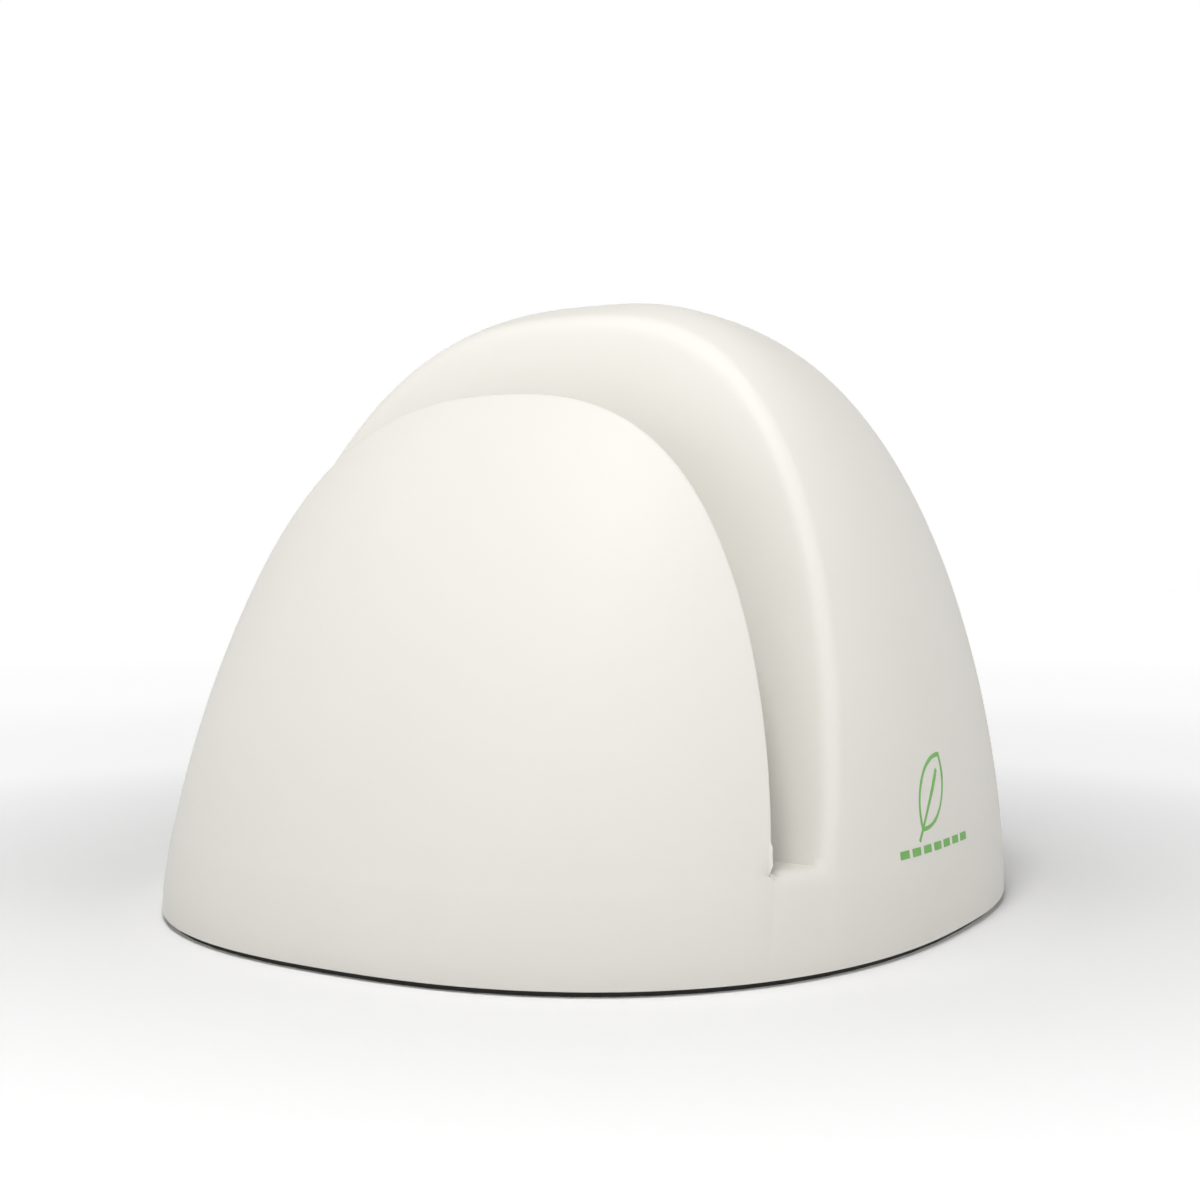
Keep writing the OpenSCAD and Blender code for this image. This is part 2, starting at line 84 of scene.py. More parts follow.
def length(name, description, default):
    return FloatProperty(name=name, description=description, default=default, unit="LENGTH", precision=4)


def share(name, description, default):
    return FloatProperty(name=name, description=description, default=default)


def colour(name, description, default):
    return FloatVectorProperty(
        name=name, description=description, default=default, subtype="COLOR", size=3, min=0.0, max=1.0
    )


class HutchSizes(bpy.types.PropertyGroup):
    """Sizes of the moulded shell, in metres."""

    half_width: length("Half width", "Half the width of the dome's foot", SHELL_HIGH.x)
    nose_length: length("Nose length", "From the middle to the nose", -SHELL_LOW.y)
    tail_length: length("Tail length", "From the middle to the back of the dome", FRAME_LOW.y - 0.008)
    edge_z: length("Edge height", "Height of the shell's lower edge", SHELL_LOW.z)
    height: length("Height", "Height of the dome above its edge", SHELL_HIGH.z - SHELL_LOW.z)
    plan_power: share("Plan power", "Roundness of the plan, 2 for an ellipse", 2.4)
    wall: length("Wall", "Thickness of the moulded wall", 0.006)
    foot_width: length("Foot width", "Width of the in-turned foot", 0.08)
    foot_thickness: length("Foot thickness", "Thickness of the in-turned foot", 0.008)
    groove_set: length("Groove set", "From the nose to the groove at the edge", 0.300)
    groove_width: length("Groove width", "Width of the groove at the edge", 0.087)
    groove_floor: length("Groove floor", "Height of the groove's floor above the edge", 0.17)
    groove_depth: length("Groove depth", "Depth of the groove", 0.19)
    front_rake: share("Front rake", "Run over rise of the groove's front wall", 0.21)
    rear_rake: share("Rear rake", "Run over rise of the groove's rear wall", 0.29)
    front_round: length("Front round", "Radius of the groove's front edge", 0.004)
    rear_round: length("Rear round", "Radius of the groove's rear edge", 0.020)
    floor_round: length("Floor round", "Radius of the lip at the ends of the floor", 0.024)
    inner_round: length("Inner round", "Radius of the corners inside the groove", 0.004)
    foot_round: length("Foot round", "Radius of the shell's lower edge", 0.003)
    porch_round: length("Porch round", "Radius between the dome and the porch", 0.018)
    door_half: length("Door half", "Half the clear width of the doorway", FRAME_HIGH.x - 0.046)
    door_spring: length("Door spring", "Height at which the doorway's arch springs", 0.56)
    flange_width: length("Flange width", "Width of the porch's flange", 0.04)
    bars: IntProperty(name="Bars", description="Upright bars of the gate", default=5)
    bar_radius: length("Bar radius", "Radius of an upright bar", 0.004)
    bead: length("Bead", "Radius of a weld bead on the gate", 0.0015)
    rib: length("Rib", "How far a bucket's rib stands out", 0.0016)
    bucket_taper: share("Bucket taper", "Run over rise of a bucket's wall", 0.1226)
    rib_rises: FloatVectorProperty(
        name="Rib heights",
        description="Heights of the ribs over a bucket's bottom",
        default=(0.140, 0.156),
        size=2,
    )
    stations: IntProperty(name="Stations", description="Steps of the mesh over the arch", default=144)


class HutchColours(bpy.types.PropertyGroup):
    """Colours of the finishes, as linear values."""

    shell: colour("Shell", "Moulded polyethylene", (0.755, 0.735, 0.685))
    rubber: colour("Rubber", "Ground ring", (0.018, 0.018, 0.017))
    steel: colour("Steel", "Galvanised steel", (0.55, 0.57, 0.58))
    zinc: colour("Zinc", "Zinc plated fixings", (0.66, 0.66, 0.64))
    water: colour("Water bucket", "Water bucket", (0.025, 0.11, 0.30))
    feed: colour("Feed bucket", "Feed bucket", (0.075, 0.085, 0.09))
    vent: colour("Vent", "Vent plate", (0.09, 0.10, 0.105))
    shutter: colour("Shutter", "Vent shutter", (0.03, 0.12, 0.30))
    mark: colour("Mark", "Green mark", (0.17, 0.44, 0.10))


class HutchView(bpy.types.PropertyGroup):
    """The studio: where the camera stands and how strong its lights are."""

    turn: FloatProperty(
        name="Turn", description="Camera's turn about the hutch", default=math.radians(31.47), subtype="ANGLE"
    )
    distance: length("Distance", "From the hutch's middle to the camera", 3.495)
    eye_height: length("Eye height", "Height of the camera", 0.696)
    aim_height: length("Aim height", "Height that the camera looks at", 0.602)
    lens: FloatProperty(name="Lens", description="Focal length in millimetres", default=50.0)
    surround: share("Surround", "Strength of the white band round the horizon", 1.0)
    key: share("Key light", "Power of the light over the front", 167.0)
    left: share("Left light", "Power of the light over the left shoulder", 30.0)
    right: share("Right light", "Power of the light on the right flank", 20.0)
    front: share("Front light", "Power of the light in front, low and left", 5.0)


# Numbers on the dome


class Dome:
    """The dome as a surface: a superellipse in plan that tapers upwards.

    Its sides, its nose and its tail each taper by their own curve.
    """

    side_curve = (1.73, 0.38)
    nose_curve = (1.37, 0.59)
    tail_curve = (1.78, 0.30)

    def __init__(self, sizes):
        self.s = sizes

    @staticmethod
    def taper(t, curve):
        return np.maximum(0.0, 1.0 - np.clip(t, 0.0, 1.0) ** curve[0]) ** curve[1]

    def spans(self, y, z, inset=0.0):
        """Half width and half length of the section at height z, on the side that y is on."""
        s = self.s
        t = (z - s.edge_z) / (s.height - inset)
        nose = (s.nose_length - inset) * self.taper(t, self.nose_curve)
        tail = (s.tail_length - inset) * self.taper(t, self.tail_curve)
        across = (s.half_width - inset) * self.taper(t, self.side_curve)
        return np.maximum(across, 1e-6), np.maximum(np.where(y < 0, nose, tail), 1e-6)

    def gauge(self, p, inset=0.0):
        """0 on the surface, below 0 inside it."""
        across, along = self.spans(p[..., 1], p[..., 2], inset)
        n = self.s.plan_power
        around = (np.abs(p[..., 0] / across) ** n + np.abs(p[..., 1] / along) ** n) ** (1 / n) - 1
        over = (p[..., 2] - self.s.edge_z) / (self.s.height - inset) - 1
        return np.where(over > 0, np.maximum(around, over), around)

    def distance(self, p, inset=0.0):
        """Signed distance to the surface, true near it."""
        slope = gradient(lambda q: self.gauge(q, inset), p)
        return self.gauge(p, inset) / np.maximum(np.linalg.norm(slope, axis=-1), 1e-6)

    def reach(self, start, direction, inset=0.0, far=2.6, halvings=46):
        """Where rays from start leave the dome."""
        low = np.zeros(np.broadcast_shapes(start.shape, direction.shape)[:-1])
        high = np.full_like(low, far)
        for _ in range(halvings):
            middle = (low + high) / 2
            inside = self.gauge(start + middle[..., None] * direction, inset) < 0
            low = np.where(inside, middle, low)
            high = np.where(inside, high, middle)
        return start + ((low + high) / 2)[..., None] * direction

    def flank_x(self, y, z):
        """Half width of the section at y and z."""
        across, along = self.spans(y, z)
        n = self.s.plan_power
        return across * np.maximum(0.0, 1 - np.abs(y / along) ** n) ** (1 / n)

    def tail_y(self, x, z):
        """Where the tail's surface is behind x and z."""
        across, along = self.spans(np.ones_like(z), z)
        n = self.s.plan_power
        return along * np.maximum(0.0, 1 - np.abs(x / across) ** n) ** (1 / n)


def gradient(field, p, step=0.0005):
    parts = []
    for axis in np.eye(3) * step:
        parts.append((field(p + axis) - field(p - axis)) / (2 * step))
    return np.stack(parts, axis=-1)


def blend_min(a, b, radius):
    """The smaller of two distances, with a round corner between them."""
    corner = np.hypot(np.maximum(radius - a, 0), np.maximum(radius - b, 0))
    return np.maximum(radius, np.minimum(a, b)) - corner


def blend_max(a, b, radius):
    """The larger of two distances, with a round edge between them."""
    corner = np.hypot(np.maximum(radius + a, 0), np.maximum(radius + b, 0))
    return np.minimum(-radius, np.maximum(a, b)) + corner


class Groove:
    """The raked groove: a front wall, a rear wall, a floor and the core that it stops at."""

    def __init__(self, dome):
        s = dome.s
        self.dome = dome
        self.s = s
        self.front_y = -s.nose_length + s.groove_set
        self.rear_y = self.front_y + s.groove_width
        self.floor_z = s.edge_z + s.groove_floor

    def plane(self, lean):
        """Start and rake of a plane between the rear wall, 0, and the front wall, 1."""
        s = self.s
        y = self.rear_y + (self.front_y - self.rear_y) * lean
        rake = s.rear_rake + (s.front_rake - s.rear_rake) * lean
        return y, rake

    def wall_y(self, lean, z):
        y, rake = self.plane(lean)
        return y + rake * (z - self.s.edge_z)

    def lobe(self, p):
        """Distance to the part of the dome in front of the groove, with its round edge."""
        front = (p[..., 1] - self.wall_y(1.0, p[..., 2])) / math.hypot(1, self.s.front_rake)
        return blend_max(self.dome.distance(p), front, self.s.front_round)

    def body(self, p):
        """Distance to the part of the dome behind the groove, with its round edge."""
        rear = (self.wall_y(0.0, p[..., 2]) - p[..., 1]) / math.hypot(1, self.s.rear_rake)
        return blend_max(self.dome.distance(p), rear, self.s.rear_round)

    def base(self, p):
        """Distance to the part of the dome under the groove's floor, with its round lip."""
        return blend_max(self.dome.distance(p), p[..., 2] - self.floor_z, self.s.floor_round)

    def rounded(self, p):
        """Distance to the whole moulding: lobe, body, base and core together."""
        walls = blend_min(self.lobe(p), self.body(p), self.s.inner_round)
        core = self.dome.distance(p, self.s.groove_depth)
        return blend_min(blend_min(walls, self.base(p), self.s.inner_round), core, self.s.inner_round)

    def settle(self, p, rounds=8):
        """Moves points on to the rounded surface."""
        for _ in range(rounds):
            slope = gradient(self.rounded, p)
            size = np.maximum((slope**2).sum(axis=-1), 0.25)
            p = p - (self.rounded(p) / size)[..., None] * slope
        return p

    def settle_corner(self, p, wall, rounds=12):
        """Moves points on to the line where the floor meets a wall."""
        for _ in range(rounds):
            fields = [wall, self.base]
            slopes = np.stack([gradient(field, p) for field in fields], axis=-2)
            values = np.stack([field(p) for field in fields], axis=-1)
            p = p - (np.linalg.pinv(slopes, rcond=0.05) @ values[..., None])[..., 0]
        return p


def ray(turn, tilt):
    """Direction at a turn from +X and a tilt about X from +Y."""
    turn, tilt = np.broadcast_arrays(turn, tilt)
    return np.stack([np.cos(turn), np.sin(turn) * np.cos(tilt), np.sin(turn) * np.sin(tilt)], axis=-1)


# Meshes


class Skin:
    """Collects grids of points and joins them into one mesh."""

    def __init__(self):
        self.points = []
        self.faces = []

    def grid(self, points, wrap=False):
        """A grid of quads over points[row, column]; wrap joins the last column to the first."""
        rows, columns = points.shape[:2]
        base = sum(len(p) for p in self.points)
        self.points.append(points.reshape(-1, 3))
        steps = columns if wrap else columns - 1
        for r in range(rows - 1):
            for c in range(steps):
                d = (c + 1) % columns
                a, b = base + r * columns, base + (r + 1) * columns
                self.faces.append((a + c, a + d, b + d, b + c))
        return self

    def face(self, points):
        """One flat face over a loop of points."""
        base = sum(len(p) for p in self.points)
        self.points.append(np.asarray(points, float))
        self.faces.append(tuple(range(base, base + len(points))))
        return self

    def mesh(self, name, outward=None, sharp=40.0):
        """The joined mesh; outward is a point and a direction that the face nearest to it has to face."""
        mesh = bpy.data.meshes.new(name)
        mesh.from_pydata(np.concatenate(self.points).tolist(), [], self.faces)
        work = bmesh.new()
        work.from_mesh(mesh)
        bmesh.ops.remove_doubles(work, verts=work.verts, dist=2e-6)
        bmesh.ops.dissolve_degenerate(work, edges=work.edges, dist=1e-6)
        bmesh.ops.recalc_face_normals(work, faces=work.faces)
        if outward:
            spot, direction = outward
            nearest = min(work.faces, key=lambda f: (f.calc_center_median() - Vector(spot)).length)
            if nearest.normal.dot(Vector(direction)) < 0:
                bmesh.ops.reverse_faces(work, faces=work.faces)
        work.to_mesh(mesh)
        work.free()
        mesh.shade_smooth()
        mesh.set_sharp_from_angle(angle=math.radians(sharp))
        return mesh


def place(name, mesh, material, body, replaced=()):
    """Adds a mesh to the scene as a finished piece of the hutch."""
    piece = bpy.data.objects.new(name, mesh)
    bpy.context.scene.collection.objects.link(piece)
    piece.data.materials.clear()
    piece.data.materials.append(material)
    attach(piece, body)
    if replaced:
        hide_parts(*replaced)
    return piece


def bake_modifiers(piece, sharp=40.0):
    """Applies a piece's modifiers to its mesh."""
    graph = bpy.context.evaluated_depsgraph_get()
    mesh = bpy.data.meshes.new_from_object(piece.evaluated_get(graph))
    piece.modifiers.clear()
    piece.data = mesh
    mesh.shade_smooth()
    mesh.set_sharp_from_angle(angle=math.radians(sharp))
    return piece


def lathe(name, profile, steps, sharp=40.0):
    """Turns a profile of radius and height about Z; points at radius 0 close it."""
    turns = np.linspace(0, 2 * math.pi, steps, endpoint=False)
    rows = [np.stack([r * np.cos(turns), r * np.sin(turns), np.full(steps, z)], axis=-1) for r, z in profile]
    return Skin().grid(np.stack(rows), wrap=True).mesh(name, sharp=sharp)


def ring_rows(path, radius, sides=8):
    """Rows of a closed tube of changing radius along a closed path."""
    ahead = np.roll(path, -1, axis=0) - np.roll(path, 1, axis=0)
    ahead /= np.linalg.norm(ahead, axis=1, keepdims=True)
    across = path - path.mean(axis=0)
    across -= (across * ahead).sum(axis=1, keepdims=True) * ahead
    across /= np.linalg.norm(across, axis=1, keepdims=True)
    third = np.cross(ahead, across)
    turn = np.linspace(0, 2 * math.pi, sides, endpoint=False)
    around = across[:, None] * np.cos(turn)[None, :, None] + third[:, None] * np.sin(turn)[None, :, None]
    rows = path[:, None] + around * radius[:, None, None]
    return np.concatenate([rows, rows[:1]])


def block(name, low, high):
    """A plain box between two corners."""
    mesh = bpy.data.meshes.new(name)
    work = bmesh.new()
    bmesh.ops.create_cube(work, size=1.0)
    bmesh.ops.scale(work, vec=high - low, verts=work.verts)
    bmesh.ops.translate(work, vec=(low + high) / 2, verts=work.verts)
    work.to_mesh(mesh)
    work.free()
    return mesh


def vent_frame():
    """Frame of the vent: origin at the centre of its seat, Z out of the roof."""
    return Matrix.Translation(VENT_PLACE) @ VENT_AXIS.to_track_quat("Z", "Y").to_matrix().to_4x4()


def curve_steps(start, corner, end, steps=7):
    """Points of a round corner, from start to end, that is tangent to both sides of the corner."""
    t = np.linspace(0, 1, steps).reshape(-1, *([1] * start.ndim))
    return (1 - t) ** 2 * start + 2 * t * (1 - t) * corner + t**2 * end


# Shell


class ShellMoulding:
    """Lays a grid of quads over the moulding, patch by patch, and rounds the groove's edges."""

    def __init__(self, sizes):
        self.s = sizes
        self.dome = Dome(sizes)
        self.groove = Groove(self.dome)
        self.turns = np.linspace(0, math.pi, sizes.stations + 1)
        drops = np.array([0, 0.005, 0.011, 0.018, 0.026, 0.036, 0.05, 0.07, 0.095, 0.125, 0.162])
        self.levels = self.groove.floor_z - drops * (sizes.groove_floor - sizes.foot_round) / drops[-1]
        self.skin = Skin()
        self.corners = []

    def arch(self, y, rake, inset=0.0):
        """Points over the dome in the plane that starts at y and leans by rake, above the groove's floor."""
        floor_z = self.groove.floor_z
        start = np.array([0.0, y + rake * (floor_z - self.s.edge_z), floor_z])
        return self.dome.reach(start, ray(self.turns, math.atan2(1, rake)), inset)

    def leg(self, y, rake, side):
        """Points down one flank from the groove's floor to the edge, in the same plane."""
        z = self.levels
        along = y + rake * (z - self.s.edge_z)
        return np.stack([side * self.dome.flank_x(along, z), along, z], axis=-1)

    def foot(self, edge):
        """Rounds the lower edge under a row of points and turns it in to the foot."""
        s = self.s
        turn = np.linspace(0, math.pi / 2, 5)[1:]
        steps = [(s.foot_round * (1 - math.cos(a)), s.foot_round * (1 - math.sin(a))) for a in turn]
        steps += [(inset, 0.0) for inset in (0.02, 0.04, 0.06, s.foot_width)]
        along = np.where(edge[:, 1] < 0, s.nose_length, s.tail_length)
        rows = [edge]
        for inset, rise in steps:
            x = edge[:, 0] * (s.half_width - inset) / s.half_width
            y = edge[:, 1] * (along - inset) / along
            rows.append(np.stack([x, y, np.full_like(x, s.edge_z + rise)], axis=-1))
        self.skin.grid(np.stack(rows))

    def whole_arch(self, y, rake):
        """Leg, arch and leg as one row of points."""
        right = self.leg(y, rake, 1)[::-1]
        left = self.leg(y, rake, -1)
        return np.concatenate([right[:-1], self.arch(y, rake), left[1:]])

    def rear(self):
        """From the groove's rear wall to the dome's widest section."""
        shares = np.array(
            [0, 0.012, 0.024, 0.04, 0.058, 0.078, 0.1, 0.125, 0.155, 0.19, 0.23, 0.275, 0.325, 0.38]
            + list(np.linspace(0.44, 1, 13))
        )
        y, rake = self.groove.plane(0.0)
        rows = np.stack([self.whole_arch(y * (1 - v), rake * (1 - v)) for v in shares])
        self.skin.grid(rows)
        self.foot(rows[:, 0])
        self.foot(rows[:, -1])

    def front(self):
        """The nose lobe above the floor's level, and the band below it."""
        y, rake = self.groove.plane(1.0)
        floor_z = self.groove.floor_z
        start = np.array([0.0, y + rake * (floor_z - self.s.edge_z), floor_z])
        lean = math.atan2(1, rake)
        near = np.radians([0, 0.25, 0.5, 0.8, 1.1, 1.5, 2.0, 2.7, 3.6, 5.0, 7.0])
        tilts = np.concatenate([lean + near, np.linspace(lean + math.radians(10), math.pi, 32)])
        self.skin.grid(self.dome.reach(start, ray(self.turns[None, :], tilts[:, None])))
        rim = self.dome.reach(start, ray(self.turns, math.pi))
        self.band(rim, y, rake)

    def plan_turn(self, x, y, z):
        """Turn of a point of the nose about the plan."""
        across, along = self.dome.spans(y, z)
        half = self.s.plan_power / 2
        return np.arctan2(-np.abs(y / along) ** half, np.sign(x) * np.abs(x / across) ** half)

    def band(self, rim, y, rake):
        """Round the nose from the floor's level down to the edge."""
        power = 2 / self.s.plan_power
        turns = self.plan_turn(rim[:, 0], rim[:, 1], rim[:, 2])
        part = (turns - turns[0]) / (turns[-1] - turns[0])
        rows = [rim]
        for right, z in zip(self.leg(y, rake, 1)[1:], self.levels[1:]):
            first = self.plan_turn(*right)
            turn = first + part * (-math.pi - 2 * first)
            across, along = self.dome.spans(np.full_like(turn, -1.0), np.full_like(turn, z))
            c, s = np.cos(turn), np.sin(turn)
            x = across * np.sign(c) * np.abs(c) ** power
            y = -along * np.abs(s) ** power
            rows.append(np.stack([x, y, np.full_like(turn, z)], axis=-1))
        self.skin.grid(np.stack(rows))
        self.foot(rows[-1])

    def channel(self):
        """The groove's two walls, its core, its floor and the flanks below its ends."""
        shallow = [0, 0.005, 0.01, 0.016, 0.024, 0.034, 0.046, 0.06]
        deep = [0.08, 0.11, 0.14, 0.16, 0.172, 0.182]
        depths = np.array(shallow + deep + [self.s.groove_depth])
        leans = np.array([0, 0.1, 0.2, 0.3, 0.42, 0.55, 0.68, 0.8, 0.88, 0.94, 0.97, 1.0])
        for lean in (0.0, 1.0):
            self.skin.grid(np.stack([self.arch(*self.groove.plane(lean), inset=d) for d in depths]))
        core = np.stack([self.arch(*self.groove.plane(lean), inset=self.s.groove_depth) for lean in leans])
        self.skin.grid(core)
        floor_z = self.groove.floor_z
        for side in (1, -1):
            starts = np.stack([np.array([0.0, self.groove.wall_y(lean, floor_z), floor_z]) for lean in leans])
            outward = np.array([float(side), 0.0, 0.0])
            rows = np.stack([self.dome.reach(starts, outward, inset=d) for d in depths])
            self.skin.grid(rows)
            self.corners += [(rows[:, 0], self.groove.body), (rows[:, -1], self.groove.lobe)]
            legs = np.stack([self.leg(*self.groove.plane(lean), side) for lean in leans])
            self.skin.grid(legs)
            self.foot(legs[:, -1])

    def door_outline(self, grow):
        """The doorway's outline grown by grow, on the same rows and rays as the arches, as x and z."""
        s = self.s
        radius = s.door_half + s.wall + grow
        floor_z = self.groove.floor_z
        across, up = np.cos(self.turns), np.sin(self.turns)
        lift = s.door_spring - floor_z
        to_leg = radius / np.maximum(np.abs(across), 1e-9)
        to_arch = up * lift + np.sqrt(np.maximum(0, radius**2 - (across * lift) ** 2))
        reach = np.where(to_leg * up < lift, to_leg, to_arch)
        legs = self.levels[1:]
        right = np.stack([np.full_like(legs, radius), legs], axis=-1)[::-1]
        over = np.stack([reach * across, floor_z + reach * up], axis=-1)
        left = np.stack([np.full_like(legs, -radius), legs], axis=-1)
        return np.concatenate([right, over, left])

    def tail(self):
        """From the widest section over the tail to the porch."""
        s = self.s
        outer = self.whole_arch(0.0, 0.0)[:, [0, 2]]
        inner = self.door_outline(s.porch_round)
        rows = []
        for u in np.linspace(0, 1, 36):
            flat = outer + (inner - outer) * u**s.plan_power
            y = self.dome.tail_y(flat[:, 0], flat[:, 1]) if u > 0 else np.zeros(len(flat))
            rows.append(np.stack([flat[:, 0], y, flat[:, 1]], axis=-1))
        self.skin.grid(np.stack(rows))
        self.foot(np.stack([row[0] for row in rows]))
        self.foot(np.stack([row[-1] for row in rows]))
        self.porch(rows[-1])

    def porch(self, start):
        """Fillet, tunnel and flange round the doorway."""
        s = self.s
        outline = self.door_outline(0.0)
        back = FRAME_LOW.y - s.wall
        lip = 0.006

        def stand(flat, y):
            return np.stack([flat[:, 0], np.broadcast_to(y, flat[:, 0].shape), flat[:, 1]], axis=-1)

        meet = self.dome.tail_y(outline[:, 0], outline[:, 1])
        fillet = curve_steps(start, stand(outline, meet), stand(outline, meet + s.porch_round))
        reach = np.linspace(0, 1, 10)[1:, None]
        tunnel_y = (meet + s.porch_round) * (1 - reach) + (back - lip) * reach
        tunnel = np.stack([stand(outline, y) for y in tunnel_y])
        turn = curve_steps(tunnel[-1], stand(outline, back), stand(self.door_outline(lip), back), 5)
        widths = np.linspace(lip, s.flange_width, 5)[1:]
        flange = np.stack([stand(self.door_outline(width), back) for width in widths])
        self.skin.grid(np.concatenate([fillet, tunnel, turn[1:], flange]))

    def build(self):
        """The outer skin as one mesh, with the groove's edges rounded."""
        self.rear()
        self.front()
        self.channel()
        self.tail()
        top = (0.0, 0.0, self.s.edge_z + self.s.height)
        mesh = self.skin.mesh("shell_skin", outward=(top, (0, 0, 1)), sharp=SHELL_SHARP)
        points = np.empty(len(mesh.vertices) * 3)
        mesh.vertices.foreach_get("co", points)
        points = points.reshape(-1, 3)
        near = (points[:, 1] < -0.03) & (points[:, 2] > self.s.edge_z + self.s.foot_round + 0.0005)
        lines = []
        for line, wall in self.corners:
            away = np.linalg.norm(points[None, :, :] - line[:, None, :], axis=-1)
            lines.append((away.argmin(axis=1), self.groove.settle_corner(line, wall)))
        points[near] = self.groove.settle(points[near])
        for index, line in lines:
            points[index] = line
        mesh.vertices.foreach_set("co", points.ravel())
        mesh.update()
        return mesh


# Materials


class Term:
    """A shader socket that does arithmetic: an expression adds its own Math nodes."""

    def __init__(self, finish, socket):
        self.finish = finish
        self.socket = socket

    def math(self, operation, *values):
        node = self.finish.node("ShaderNodeMath", {"operation": operation}, dict(enumerate(values)))
        return node.out(0)

    def __add__(self, other):
        return self.math("ADD", self, other)

    def __radd__(self, other):
        return self.math("ADD", other, self)

    def __sub__(self, other):
        return self.math("SUBTRACT", self, other)

    def __rsub__(self, other):
        return self.math("SUBTRACT", other, self)

    def __mul__(self, other):
        return self.math("MULTIPLY", self, other)

    def __rmul__(self, other):
        return self.math("MULTIPLY", other, self)

    def __truediv__(self, other):
        return self.math("DIVIDE", self, other)

    def __pow__(self, other):
        return self.math("POWER", self, other)

    def clamp(self):
        return self.math("MINIMUM", self.math("MAXIMUM", self, 0.0), 1.0)


class Placed:
    """A node in a finish, with its outputs as terms."""

    def __init__(self, finish, node):
        self.finish = finish
        self.node = node

    def out(self, key):
        return Term(self.finish, self.node.outputs[key])


class Shading:
    """A node tree with one shader, and the textures that feed it."""

    def __init__(self, tree, shader, coordinates):
        self.tree = tree
        self.shader = tree.nodes[shader]
        self.coordinates = self.node("ShaderNodeTexCoord").out(coordinates)

    def node(self, kind, settings=None, inputs=None):
        """Adds any node: its settings are set first, then its sockets are given values or links."""
        node = self.tree.nodes.new(kind)
        for key, value in (settings or {}).items():
            if key == "stops":
                self.stops(node.color_ramp, value)
            else:
                setattr(node, key, value)
        for key, value in (inputs or {}).items():
            if isinstance(value, Term):
                self.tree.links.new(value.socket, node.inputs[key])
            else:
                node.inputs[key].default_value = value
        return Placed(self, node)

    @staticmethod
    def stops(ramp, stops):
        while len(ramp.elements) < len(stops):
            ramp.elements.new(0.5)
        for element, (position, value) in zip(ramp.elements, stops):
            element.position = position
            element.color = (value, value, value, 1.0) if isinstance(value, float) else (*value, 1.0)

    def noise(self, scale, detail=2.0, roughness=0.5, stretch=None):
        """Noise from 0 to 1 over the object, with scale in cycles a metre."""
        where = self.coordinates
        if stretch:
            inputs = {"Vector": where, "Scale": stretch}
            where = self.node("ShaderNodeMapping", {"vector_type": "POINT"}, inputs).out("Vector")
        inputs = {"Vector": where, "Scale": scale, "Detail": detail, "Roughness": roughness}
        return self.node("ShaderNodeTexNoise", None, inputs).out(0)

    def cells(self, scale, output="Distance"):
        """Cells over the object: the distance to each one's middle, or its own colour."""
        inputs = {"Vector": self.coordinates, "Scale": scale}
        return self.node("ShaderNodeTexVoronoi", {"feature": "F1"}, inputs).out(output)

    def ramp(self, value, *stops):
        return self.node("ShaderNodeValToRGB", {"stops": stops}, {"Fac": value}).out("Color")

    def mix(self, factor, first, second):
        """Mixes two colours."""
        inputs = {"Factor": factor, "A": first, "B": second}
        node = self.tree.nodes.new("ShaderNodeMix")
        node.data_type = "RGBA"
        for key, value in inputs.items():
            socket = next(s for s in node.inputs if s.name == key and s.enabled)
            if isinstance(value, Term):
                self.tree.links.new(value.socket, socket)
            else:
                socket.default_value = (*value, 1.0) if isinstance(value, tuple) else value
        return Term(self, next(s for s in node.outputs if s.enabled))

    def axis(self, name):
        """One coordinate, in metres on an object."""
        return self.node("ShaderNodeSeparateXYZ", None, {"Vector": self.coordinates}).out(name)

    def feed(self, socket, term):
        self.tree.links.new(term.socket, self.shader.inputs[socket])
        return self

    def bump(self, height, distance, strength=1.0):
        inputs = {"Height": height, "Distance": distance, "Strength": strength}
        self.feed("Normal", self.node("ShaderNodeBump", None, inputs).out("Normal"))
        return self


class Finish(Shading):
    """One procedural material."""

    def __init__(self, name, **constants):
        self.material = bpy.data.materials.new(name)
        self.material.use_nodes = True
        super().__init__(self.material.node_tree, "Principled BSDF", "Object")
        for key, value in constants.items():
            self.shader.inputs[key.replace("_", " ").title().replace("Ior", "IOR")].default_value = value


def scaled(colour_value, factor):
    """A colour made lighter or darker."""
    return tuple(min(1.0, c * factor) for c in colour_value)


def moulded_finish(colours):
    """Satin polyethylene from a rotating mould: nearly even, with a fine skin and slow waves."""
    f = Finish("moulded_polyethylene", specular_ior_level=0.30, ior=1.5)
    base = tuple(colours.shell)
    slow = f.noise(2.2, 3.0, 0.5)
    speck = f.cells(240.0)
    tone = f.mix(slow, scaled(base, 0.975), scaled(base, 1.02))
    # Darker in patches towards the bottom, below 0.22 m
    low = (1.0 - f.axis("Z") / 0.22).clamp() ** 2.0
    tone = f.mix(low * f.noise(9.0, 4.0) * 0.16, tone, scaled(base, 0.78))
    tone = f.mix((0.045 - speck).clamp() * 2.0, tone, scaled(base, 0.82))
    f.feed("Base Color", tone)
    f.feed("Roughness", 0.52 + slow * 0.05 + f.noise(160.0, 2.0) * 0.06)
    skin = f.noise(310.0, 2.0, 0.55) * 0.7 + f.noise(28.0, 2.0, 0.5) * 0.3
    f.bump(skin, 0.00012, 0.5)
    return f.material


def rubber_finish(colours):
    """Coarse black rubber with dust in its grain."""
    f = Finish("ring_rubber", specular_ior_level=0.35)
    base = tuple(colours.rubber)
    grain = f.noise(420.0, 4.0, 0.6)
    dust = f.noise(14.0, 5.0, 0.6)
    f.feed("Base Color", f.mix(dust * 0.5, base, (0.06, 0.055, 0.05)))
    f.feed("Roughness", 0.72 + grain * 0.2)
    f.bump(grain, 0.0006, 0.8)
    return f.material


